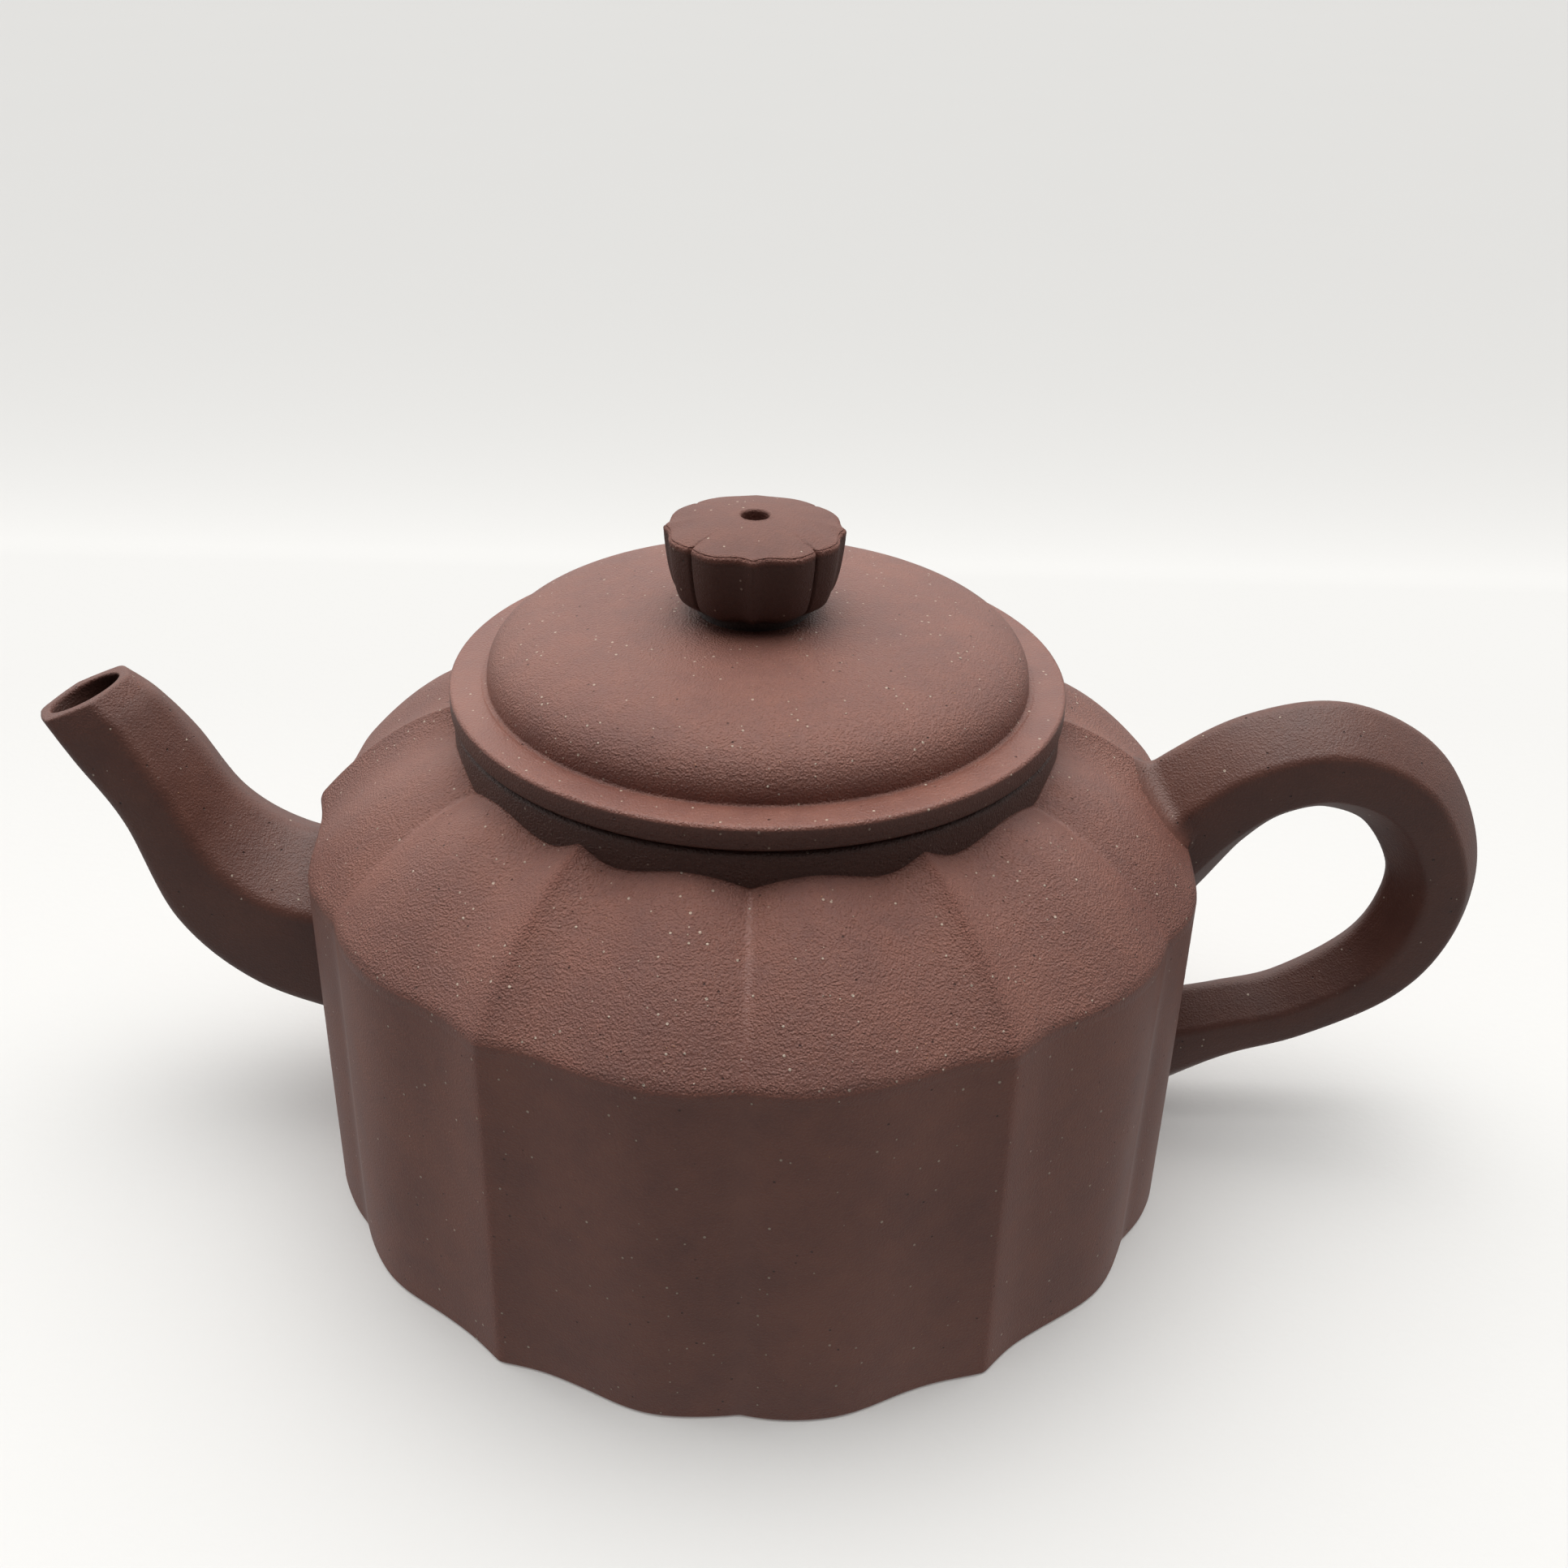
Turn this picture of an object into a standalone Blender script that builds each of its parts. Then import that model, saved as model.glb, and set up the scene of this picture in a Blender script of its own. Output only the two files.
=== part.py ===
"""Six-petalled slab-built clay teapot, with a turned lid and a four-lobed knob.

Metres, +Z up. The origin is on the table, on the axis that the body, the neck and the lid share.
The spout points along -X and the handle along +X. Pieces that were luted together in wet clay are
modelled as the separate pieces they were made as, each LUTE apart from its neighbour.
"""
import math

import bmesh
import bpy
from mathutils import Vector

# Driving dimensions, in metres
BODY_RADIUS = 0.0460        # axis to a petal's crest at the shoulder edge
BASE_FLARE = 0.0007         # how much wider the foot is than the shoulder edge, in radius
EDGE_HEIGHT = 0.0387        # table to the sharp shoulder edge
SHOULDER_RISE = 0.0114      # shoulder edge to where the crests meet the neck
SHOULDER_SWELL = 0.0018     # how far the shoulder bulges above a straight cone
WALL = 0.0028               # side wall
SHOULDER_WALL = 0.0032      # shoulder slab, measured straight down
SHOULDER_LIP = 0.0012       # depth of the shoulder slab's upright outer edge
BASE_THICKNESS = 0.0032
EDGE_LOBE = 0.00115         # depth of the lobes at the wall and shoulder edge
NECK_LOBE = 0.0018          # depth of the lobes where they meet the neck
NECK_DIP = 0.0013           # how much lower than a crest the grooves meet the neck
NECK_RADIUS = 0.0303
NECK_WALL = 0.0033
NECK_TOP = 0.0021           # how far the neck stands above the shoulder's crests
NECK_DEPTH = 0.0065         # full height of the neck ring
RIM_OVERHANG = 0.00024      # how far the lid's rim stands out past the neck
RIM_THICKNESS = 0.00244
RIM_LEDGE = 0.00371         # flat ring of rim around the dome
DOME_HEIGHT = 0.0067
DOME_EDGE = 3.2             # power that turns the dome hard over at its edge
DOME_TOP = 2.8              # and the one that flattens its top
LID_THICKNESS = 0.0030
FLANGE_DEPTH = 0.0058       # locating ring under the lid
FLANGE_WALL = 0.0026
KNOB_RADIUS = 0.0088        # axis to a lobe's crest at the knob's rim
KNOB_HEIGHT = 0.0083        # lid to the knob's rim
KNOB_CROWN = 0.0013         # how far the knob's top face swells above its rim
KNOB_LOBE = 0.0007
KNOB_FOOT_RADIUS = 0.0055
KNOB_FOOT_HEIGHT = 0.0006
VENT_RADIUS = 0.00134
SPOUT_REACH = 0.0274        # wall to the lip's tip
SPOUT_RISE = 0.0138         # shoulder edge to the lip's top
SPOUT_WIDTH = 0.0176        # across the flats at the root
SPOUT_LIP_WIDTH = 0.0090
SPOUT_FLAT = 0.5            # share of the section's depth that its flat sides take up
SPOUT_WALL = 0.0025         # clay around the bore at the root
SPOUT_LIP_WALL = 0.0012
BORE_MARGIN = 1.25          # clay above and below the bore, in walls
STRAINER_RADIUS = 0.0058
STRAINER_WALL = 0.0018
STRAINER_HOLE = 0.0011      # radius of each piercing
STRAINER_TILT = 48          # degrees from the middle piercing to the ring around it
STRAINER_RING = 6           # piercings in that ring
HANDLE_REACH = 0.0267       # wall to the outermost point of the handle's centre line
HANDLE_RISE = 0.0078        # shoulder edge to the highest point of the centre line
HANDLE_FOOT = 0.0103        # table to the centre line at the lower root
HANDLE_WIDTH = 0.0110       # at the upper root, where it is broadest
HANDLE_FLAT = 0.40          # share of the section's depth that its flat sides take up
HANDLE_DEPTH = 0.0088       # thickness in the plane of the loop, at its slimmest
HANDLE_ROOT_DEPTH = 0.0165  # and where it springs from the shoulder

LUTE = 0.0003               # gap between pieces that meet
SLIP = 0.0006               # clearance around the lid's ring in the neck
NECK_EASE = 0.0005          # eased edges of the neck, the rim and the ring under the lid
RIM_EASE = 0.0004
FLANGE_EASE = 0.0008

PETALS = 6
KNOB_LOBES = 4
BODY_SIDES = 96             # facets around the petalled pieces, a multiple of 2 * PETALS
ROUND_SIDES = 64            # facets around the turned pieces and the knob

# Where each lobe turns, as (share of the way from groove to cusp, height of the outline there)
PETAL_TURNS = ((0.0, 0.22), (0.31, 1.0), (0.76, 0.0), (1.0, 1.0))
DIP_TURNS = ((0.0, 0.0), (0.38, 0.62), (0.76, 0.32), (1.0, 1.0))
KNOB_TURNS = ((0.0, 0.0), (0.24, 0.85), (0.42, 1.0), (0.80, 0.40), (1.0, 1.0))

# Heights that follow from the dimensions above
CREST_HEIGHT = EDGE_HEIGHT + SHOULDER_RISE
NECK_HEIGHT = CREST_HEIGHT + NECK_TOP
SEAM_HEIGHT = EDGE_HEIGHT - SHOULDER_LIP
RIM_BOTTOM = NECK_HEIGHT + LUTE
RIM_TOP = RIM_BOTTOM + RIM_THICKNESS
LID_TOP = RIM_TOP + DOME_HEIGHT
NECK_BORE = NECK_RADIUS - NECK_WALL
RIM_RADIUS = NECK_RADIUS + RIM_OVERHANG
DOME_RADIUS = RIM_RADIUS - RIM_LEDGE
SPOUT_TIP = EDGE_HEIGHT + SPOUT_RISE


def lobed(turn, count, turns):
    """Height, 0 to 1, of an outline of count bracket-shaped lobes at an angle in turns of a circle.

    A lobe runs from a soft groove over a bulge into a hollow, and up to a sharp cusp.
    """
    along = (turn * count) % 1.0
    share = min(along, 1.0 - along) * 2.0
    for (start, low), (end, high) in zip(turns, turns[1:]):
        if share <= end:
            step = (share - start) / (end - start)
            if start == 0.0:
                step = math.sin(step * math.pi / 2)
            elif end == 1.0:
                step = 1.0 - math.cos(step * math.pi / 2)
            else:
                step = (1.0 - math.cos(step * math.pi)) / 2
            return low + (high - low) * step
    return turns[-1][1]


def polar(radius, turn, height):
    """A point at an angle counted from the front (-Y) towards +X."""
    angle = turn * 2 * math.pi
    return Vector((radius * math.sin(angle), -radius * math.cos(angle), height))


def circle(radius, height, sides=ROUND_SIDES):
    return [polar(radius, i / sides, height) for i in range(sides)]


def wall_radius(turn, height):
    """Outer radius of the side wall."""
    flare = BASE_FLARE * (1.0 - height / EDGE_HEIGHT)
    return BODY_RADIUS + flare - EDGE_LOBE * (1.0 - lobed(turn, PETALS, PETAL_TURNS))


def wall_ring(height, inset=0.0):
    turns = [i / BODY_SIDES for i in range(BODY_SIDES)]
    return [polar(wall_radius(turn, height) - inset, turn, height) for turn in turns]


def shoulder_height(radius, turn, hole):
    """Height of the shoulder's outer face, whose inner edge has the radius called hole."""
    share = (BODY_RADIUS - radius) / (BODY_RADIUS - hole)
    depth = EDGE_LOBE + (NECK_LOBE - EDGE_LOBE) * share
    smooth = radius + depth * (1.0 - lobed(turn, PETALS, PETAL_TURNS))
    climb = (BODY_RADIUS - smooth) / (BODY_RADIUS - hole)
    dip = NECK_DIP * share ** 2 * (1.0 - lobed(turn, PETALS, DIP_TURNS))
    return EDGE_HEIGHT + SHOULDER_RISE * climb + 4 * SHOULDER_SWELL * climb * (1.0 - climb) - dip


def shoulder_ring(share, hole, inset=0.0, drop=0.0):
    """Ring across the shoulder, from its edge at share 0 to the neck at share 1."""
    ring = []
    for i in range(BODY_SIDES):
        turn = i / BODY_SIDES
        edge = wall_radius(turn, EDGE_HEIGHT) - inset
        radius = edge + (hole - edge) * share
        ring.append(polar(radius, turn, shoulder_height(radius, turn, hole) - drop))
    return ring


def smooth_through(points, steps):
    """Points along a Catmull-Rom curve through the given ones, steps to each stretch."""
    ends = [2 * points[0] - points[1]] + list(points) + [2 * points[-1] - points[-2]]
    curve = []
    for i in range(1, len(ends) - 2):
        a, b, c, d = ends[i - 1:i + 3]
        for j in range(steps):
            t = j / steps
            curve.append(0.5 * (2 * b + (c - a) * t + (2 * a - 5 * b + 4 * c - d) * t ** 2
                                + (3 * b - a - 3 * c + d) * t ** 3))
    return curve + [points[-1]]


def clay(name, colour, roughness):
    material = bpy.data.materials.new(name)
    material.use_nodes = True
    shader = material.node_tree.nodes["Principled BSDF"]
    shader.inputs["Base Color"].default_value = (*colour, 1.0)
    shader.inputs["Roughness"].default_value = roughness
    shader.inputs["Metallic"].default_value = 0.0
    material.diffuse_color = (*colour, 1.0)
    return material


def skin(name, rings, hollow, material=None, parent=None):
    """Closed body through rings of equally many points.

    A hollow one is a loop of rings, the last joined to the first. Otherwise both ends are capped.
    """
    origin = parent.location if parent else Vector((0.0, 0.0, 0.0))
    mesh = bmesh.new()
    rows = [[mesh.verts.new(point - origin) for point in ring] for ring in rings]
    pairs = list(zip(rows, rows[1:]))
    if hollow:
        pairs.append((rows[-1], rows[0]))
    else:
        mesh.faces.new(rows[0])
        mesh.faces.new(rows[-1])
    for low, high in pairs:
        for i, corner in enumerate(low):
            mesh.faces.new((low[i - 1], corner, high[i], high[i - 1]))
    bmesh.ops.recalc_face_normals(mesh, faces=mesh.faces)
    data = bpy.data.meshes.new(name)
    mesh.to_mesh(data)
    mesh.free()
    piece = bpy.data.objects.new(name, data)
    bpy.context.collection.objects.link(piece)
    piece.parent = parent
    if material:
        data.materials.append(material)
        data.shade_smooth()
        data.set_sharp_from_angle(angle=math.radians(30))
    return piece


def cutter(name, rings):
    piece = skin(name, rings, hollow=False)
    piece.hide_render = True
    piece.display_type = 'WIRE'
    return piece


def cut(piece, tool):
    modifier = piece.modifiers.new("cut " + tool.name, 'BOOLEAN')
    modifier.operation = 'DIFFERENCE'
    modifier.solver = 'EXACT'
    modifier.object = tool


def rod(start, end, radius, sides):
    """The two end rings of a round rod."""
    along = (end - start).normalized()
    across = along.orthogonal().normalized()
    up = along.cross(across)
    rings = []
    for centre in (start, end):
        rings.append([centre + radius * (across * math.cos(2 * math.pi * i / sides)
                                         + up * math.sin(2 * math.pi * i / sides)) for i in range(sides)])
    return rings


def build_base_plate():
    rings = [wall_ring(height, inset=WALL + LUTE) for height in (0.0, BASE_THICKNESS)]
    return skin("base_plate", rings, hollow=False, material=clay("base clay", (0.115, 0.047, 0.038), 0.62))


def build_body_wall():
    top = SEAM_HEIGHT - LUTE
    rings = [wall_ring(0.0), wall_ring(top), wall_ring(top, inset=WALL), wall_ring(0.0, inset=WALL)]
    return skin("body_wall", rings, hollow=True, material=clay("wall clay", (0.110, 0.044, 0.036), 0.50))


def build_shoulder():
    rows = 7
    hole = NECK_RADIUS + LUTE
    outer = [shoulder_ring(i / rows, hole) for i in range(rows + 1)]
    inner = [shoulder_ring(i / rows, hole, inset=WALL, drop=SHOULDER_WALL) for i in range(1, rows + 1)]
    under = [wall_ring(SEAM_HEIGHT, inset=WALL), wall_ring(SEAM_HEIGHT)]
    return skin("shoulder", outer + inner[::-1] + under, hollow=True,
                material=clay("shoulder clay", (0.130, 0.054, 0.044), 0.58))


def build_neck_ring():
    foot = NECK_HEIGHT - NECK_DEPTH
    shoulder = NECK_HEIGHT - NECK_EASE
    profile = ((NECK_RADIUS, foot), (NECK_RADIUS, shoulder), (NECK_RADIUS - NECK_EASE, NECK_HEIGHT),
               (NECK_BORE + NECK_EASE, NECK_HEIGHT), (NECK_BORE, shoulder), (NECK_BORE, foot))
    return skin("neck_ring", [circle(r, z) for r, z in profile], hollow=True,
                material=clay("neck clay", (0.115, 0.047, 0.038), 0.56))


def body_envelope():
    """The body's outer form, LUTE larger all over, which trims whatever is luted onto it."""
    rows = 6
    hole = NECK_RADIUS
    lift = LUTE * math.hypot(1.0, SHOULDER_RISE / (BODY_RADIUS - hole))
    rings = [wall_ring(-WALL, inset=-LUTE), wall_ring(EDGE_HEIGHT, inset=-LUTE)]
    for i in range(rows + 1):
        ring = shoulder_ring(i / rows, hole, inset=-LUTE * (1.0 - i / rows))
        rings.append([point + Vector((0.0, 0.0, lift + LUTE)) for point in ring])
    return cutter("body_envelope", rings)


def spout_sections():
    """Mid-point, half-depth vector and half width of each section from root to lip.

    Each station gives the upper and the lower edge as shares of the reach and of the tip's height.
    """
    stations = ((-0.15, 0.658, -0.15, 0.194, 1.00), (0.106, 0.675, 0.287, 0.298, 0.94),
                (0.293, 0.748, 0.591, 0.453, 0.72), (0.437, 0.872, 0.738, 0.694, 0.50),
                (0.534, 0.957, 0.908, 0.828, 0.20), (0.635, 1.0, 1.0, 0.918, 0.0))
    points = []
    for top_out, top_up, low_out, low_up, breadth in stations:
        top = Vector((-BODY_RADIUS - SPOUT_REACH * top_out, 0.0, SPOUT_TIP * top_up))
        low = Vector((-BODY_RADIUS - SPOUT_REACH * low_out, 0.0, SPOUT_TIP * low_up))
        points.append((top, low, SPOUT_LIP_WIDTH + (SPOUT_WIDTH - SPOUT_LIP_WIDTH) * breadth))
    steps = 4
    tops = smooth_through([p[0] for p in points], steps)
    lows = smooth_through([p[1] for p in points], steps)
    widths = smooth_through([p[2] for p in points], steps)
    return [((top + low) / 2, (top - low) / 2, width / 2) for top, low, width in zip(tops, lows, widths)]


def hexagon(centre, up, half_width, flat):
    """Six corners, one at each end of the vector up, with sides facing +Y and -Y.

    The sides take up the share of the whole depth called flat.
    """
    side = Vector((0.0, half_width, 0.0))
    return [centre + up, centre + up * flat + side, centre - up * flat + side,
            centre - up, centre - up * flat - side, centre + up * flat - side]


def build_spout(envelope):
    sections = spout_sections()
    outer = [hexagon(*section, flat=SPOUT_FLAT) for section in sections]
    spout = skin("spout", outer, hollow=False, material=clay("spout clay", (0.115, 0.046, 0.038), 0.52))
    bore = []
    sides = 16
    for i, (centre, up, half_width) in enumerate(sections):
        wall = SPOUT_WALL + (SPOUT_LIP_WALL - SPOUT_WALL) * i / (len(sections) - 1)
        high = up * (1.0 - BORE_MARGIN * wall / up.length)
        wide = Vector((0.0, half_width - wall, 0.0))
        bore.append([centre + high * math.cos(2 * math.pi * k / sides)
                     + wide * math.sin(2 * math.pi * k / sides) for k in range(sides)])
    past_root = [point + Vector((LUTE, 0.0, 0.0)) for point in bore[0]]
    past_lip = [2 * last - before for before, last in zip(bore[-2], bore[-1])]
    cut(spout, cutter("spout_bore", [past_root] + bore + [past_lip]))
    cut(spout, envelope)
    return spout


def strainer_axis():
    """Height of the strainer, level with the middle of the spout's root."""
    return spout_sections()[0][0].z


def build_spout_strainer(wall):
    """Pierced clay dome, seated in a round hole in the wall behind the spout."""
    height = strainer_axis()
    seat = BODY_RADIUS - EDGE_LOBE - LUTE
    collar = BODY_RADIUS - WALL - EDGE_LOBE
    hole = rod(Vector((-seat - WALL, 0.0, height)), Vector((-collar + WALL, 0.0, height)),
               STRAINER_RADIUS + LUTE, 32)
    cut(wall, cutter("strainer_hole", hole))

    sides = 32
    rows = 5

    def turned(reach, radius):
        return [Vector((-reach, radius * math.cos(2 * math.pi * i / sides),
                        height + radius * math.sin(2 * math.pi * i / sides))) for i in range(sides)]

    bore = STRAINER_RADIUS - STRAINER_WALL
    rings = [turned(seat, bore), turned(seat, STRAINER_RADIUS)]
    inside = [turned(seat, bore)]
    for i in range(rows):
        angle = math.pi / 2 * i / rows
        rings.append(turned(collar - STRAINER_RADIUS * math.sin(angle), STRAINER_RADIUS * math.cos(angle)))
        inside.append(turned(collar - bore * math.sin(angle), bore * math.cos(angle)))
    strainer = skin("spout_strainer", rings[1:], hollow=False,
                    material=clay("strainer clay", (0.115, 0.047, 0.038), 0.62))
    inside[0] = turned(seat + STRAINER_WALL, bore)
    cut(strainer, cutter("strainer_hollow", inside))
    centre = Vector((-collar, 0.0, height))
    tilts = [(0.0, 0.0)]
    tilts += [(math.radians(STRAINER_TILT), 2 * math.pi * i / STRAINER_RING) for i in range(STRAINER_RING)]
    for i, (tilt, spin) in enumerate(tilts):
        along = Vector((math.cos(tilt), math.sin(tilt) * math.cos(spin), math.sin(tilt) * math.sin(spin)))
        piercing = rod(centre + along * (bore - STRAINER_WALL),
                       centre + along * (STRAINER_RADIUS + STRAINER_WALL), STRAINER_HOLE, 10)
        cut(strainer, cutter(f"piercing_{i + 1}", piercing))
    return strainer


def build_handle(envelope):
    """Ear-shaped loop of hexagonal section, sharp-edged outside and in, thickest at the roots."""
    # out and up as shares of the loop's reach and height, how far the clay has thickened, and its
    # breadth as a share of the broadest
    stations = ((-0.17, 0.683, 1.00, 1.00), (0.027, 0.848, 0.72, 1.00), (0.238, 0.962, 0.56, 1.00),
                (0.506, 1.000, 0.48, 1.00), (0.789, 0.906, 0.30, 0.98), (0.974, 0.682, 0.16, 0.945),
                (0.975, 0.464, 0.20, 0.89), (0.840, 0.276, 0.16, 0.82), (0.540, 0.123, 0.05, 0.76),
                (0.275, 0.056, 0.18, 0.745), (0.071, 0.0, 0.49, 0.755), (-0.17, -0.075, 0.87, 0.78))
    base = HANDLE_FOOT
    top = EDGE_HEIGHT + HANDLE_RISE
    points = []
    depths = []
    breadths = []
    for out, up, swelling, breadth in stations:
        points.append(Vector((BODY_RADIUS + HANDLE_REACH * out, 0.0, base + (top - base) * up)))
        depths.append(HANDLE_DEPTH + (HANDLE_ROOT_DEPTH - HANDLE_DEPTH) * swelling)
        breadths.append(HANDLE_WIDTH * breadth)
    steps = 3
    line = smooth_through(points, steps)
    depth = smooth_through(depths, steps)
    breadth = smooth_through(breadths, steps)
    rings = []
    for i, centre in enumerate(line):
        along = (line[min(i + 1, len(line) - 1)] - line[max(i - 1, 0)]).normalized()
        outward = Vector((-along.z, 0.0, along.x))
        rings.append(hexagon(centre, outward * depth[i] / 2, breadth[i] / 2, flat=HANDLE_FLAT))
    handle = skin("handle", rings, hollow=False, material=clay("handle clay", (0.115, 0.046, 0.038), 0.50))
    cut(handle, envelope)
    return handle


def dome(radius, reach, height):
    """Height of the lid's dome: nearly flat on top and rounded hard over at its edge."""
    return height * (1.0 - (radius / reach) ** DOME_EDGE) ** (1 / DOME_TOP)


def build_lid_plate(axis):
    shares = (1.0, 0.995, 0.98, 0.95, 0.90, 0.82, 0.70, 0.50, 0.25)
    inner_shares = (0.25, 0.70, 0.90, 0.98)
    hollow_reach = NECK_BORE - SLIP - FLANGE_WALL
    profile = [(RIM_RADIUS, RIM_BOTTOM), (RIM_RADIUS, RIM_TOP - RIM_EASE), (RIM_RADIUS - RIM_EASE, RIM_TOP)]
    profile += [(DOME_RADIUS * s, RIM_TOP + dome(DOME_RADIUS * s, DOME_RADIUS, DOME_HEIGHT))
                for s in shares]
    profile += [(VENT_RADIUS, LID_TOP), (VENT_RADIUS, LID_TOP - LID_THICKNESS)]
    inner_rise = LID_TOP - LID_THICKNESS - RIM_BOTTOM
    profile += [(hollow_reach * s, RIM_BOTTOM + dome(hollow_reach * s, hollow_reach, inner_rise))
                for s in inner_shares]
    profile.append((hollow_reach, RIM_BOTTOM))
    return skin("lid_plate", [circle(r, z) for r, z in profile], hollow=True, parent=axis,
                material=clay("lid clay", (0.130, 0.054, 0.044), 0.56))


def build_lid_flange(axis):
    outer = NECK_BORE - SLIP
    inner = outer - FLANGE_WALL
    top = RIM_BOTTOM - LUTE
    foot = top - FLANGE_DEPTH
    profile = ((outer, top), (outer, foot + FLANGE_EASE), (outer - FLANGE_EASE, foot),
               (inner, foot), (inner, top))
    return skin("lid_flange", [circle(r, z) for r, z in profile], hollow=True, parent=axis,
                material=clay("flange clay", (0.115, 0.047, 0.038), 0.60))


def build_knob(axis):
    """Bracket-lobed cup on a low round foot, with the lid's vent running up through it."""
    foot = LID_TOP + LUTE
    rim = LID_TOP + KNOB_HEIGHT
    cup = foot + KNOB_FOOT_HEIGHT
    # share of the cup's height, and of the radius there
    sides = ((0.0, 0.70), (0.07, 0.79), (0.17, 0.88), (0.42, 0.945), (0.75, 0.985), (0.97, 1.0))

    def ring(share, height):
        points = []
        for i in range(ROUND_SIDES):
            turn = i / ROUND_SIDES
            lobe = KNOB_LOBE * share * (1.0 - lobed(turn + 0.5 / KNOB_LOBES, KNOB_LOBES, KNOB_TURNS))
            points.append(polar(KNOB_RADIUS * share - lobe, turn, height))
        return points

    rings = [circle(VENT_RADIUS, foot), circle(KNOB_FOOT_RADIUS, foot), circle(KNOB_FOOT_RADIUS, cup)]
    rings += [ring(share, cup + (rim - cup) * up) for up, share in sides]
    rings += [ring(share, rim + KNOB_CROWN * (1.0 - share ** 2)) for share in (0.97, 0.75, 0.45)]
    rings.append(circle(VENT_RADIUS, rim + KNOB_CROWN))
    return skin("knob", rings, hollow=True, parent=axis,
                material=clay("knob clay", (0.115, 0.046, 0.038), 0.54))


def clear_scene():
    for old in list(bpy.data.objects):
        bpy.data.objects.remove(old, do_unlink=True)


def main():
    clear_scene()
    build_base_plate()
    wall = build_body_wall()
    build_shoulder()
    build_neck_ring()
    envelope = body_envelope()
    build_spout(envelope)
    build_spout_strainer(wall)
    build_handle(envelope)

    lid_axis = bpy.data.objects.new("lid_axis", None)
    bpy.context.collection.objects.link(lid_axis)
    lid_axis.location = (0.0, 0.0, RIM_BOTTOM)
    build_lid_flange(lid_axis)
    build_lid_plate(lid_axis)
    build_knob(lid_axis)


main()
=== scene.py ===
import math

import bmesh
import bpy
import numpy as np
from mathutils import Matrix, Vector


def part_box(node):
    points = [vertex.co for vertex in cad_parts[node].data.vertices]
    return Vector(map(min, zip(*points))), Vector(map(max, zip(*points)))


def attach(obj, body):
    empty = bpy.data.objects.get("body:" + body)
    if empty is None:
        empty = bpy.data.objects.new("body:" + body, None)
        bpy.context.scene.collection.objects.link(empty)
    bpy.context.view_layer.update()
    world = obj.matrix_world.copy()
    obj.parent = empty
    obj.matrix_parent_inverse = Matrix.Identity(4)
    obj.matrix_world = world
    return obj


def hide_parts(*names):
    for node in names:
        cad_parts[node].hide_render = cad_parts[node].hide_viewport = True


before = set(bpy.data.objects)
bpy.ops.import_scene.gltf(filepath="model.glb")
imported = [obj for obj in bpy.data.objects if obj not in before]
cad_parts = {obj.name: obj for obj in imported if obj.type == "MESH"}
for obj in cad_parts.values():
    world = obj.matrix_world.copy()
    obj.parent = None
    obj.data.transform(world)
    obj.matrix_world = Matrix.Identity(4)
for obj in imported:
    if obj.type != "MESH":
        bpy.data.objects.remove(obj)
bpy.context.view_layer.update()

# Lengths are in metres. The spout points along -X, the handle along +X and the maker's view is from -Y.
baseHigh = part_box("base_plate")[1]
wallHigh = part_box("body_wall")[1]
shoulderLow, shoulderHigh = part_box("shoulder")
neckLow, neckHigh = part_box("neck_ring")
spoutLow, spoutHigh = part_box("spout")
strainerLow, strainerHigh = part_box("spout_strainer")
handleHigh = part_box("handle")[1]
plateLow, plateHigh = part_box("lid_plate")
flangeLow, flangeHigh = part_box("lid_flange")
knobLow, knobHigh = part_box("knob")
tuck = 0.0003  # how far a luted piece is pressed into its neighbour


class Wire:
    # one socket of a finish; sums on wires add the Math nodes that they need
    def __init__(self, finish, socket):
        self.finish = finish
        self.socket = socket

    def maths(self, operation, *values, clamped=False):
        settings = {"operation": operation, "use_clamp": clamped}
        return self.finish.add("ShaderNodeMath", settings, dict(enumerate(values)))

    def __add__(self, other):
        return self.maths("ADD", self, other)

    def __radd__(self, other):
        return self.maths("ADD", other, self)

    def __sub__(self, other):
        return self.maths("SUBTRACT", self, other)

    def __rsub__(self, other):
        return self.maths("SUBTRACT", other, self)

    def __mul__(self, other):
        return self.maths("MULTIPLY", self, other)

    def __rmul__(self, other):
        return self.maths("MULTIPLY", other, self)

    def __truediv__(self, other):
        return self.maths("DIVIDE", self, other)

    def __rtruediv__(self, other):
        return self.maths("DIVIDE", other, self)

    def __pow__(self, other):
        return self.maths("POWER", self, other)

    def __gt__(self, other):
        return self.maths("GREATER_THAN", self, other)

    def __lt__(self, other):
        return self.maths("LESS_THAN", self, other)

    def held(self):
        return self.maths("ADD", self, 0.0, clamped=True)  # kept between 0 and 1


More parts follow.
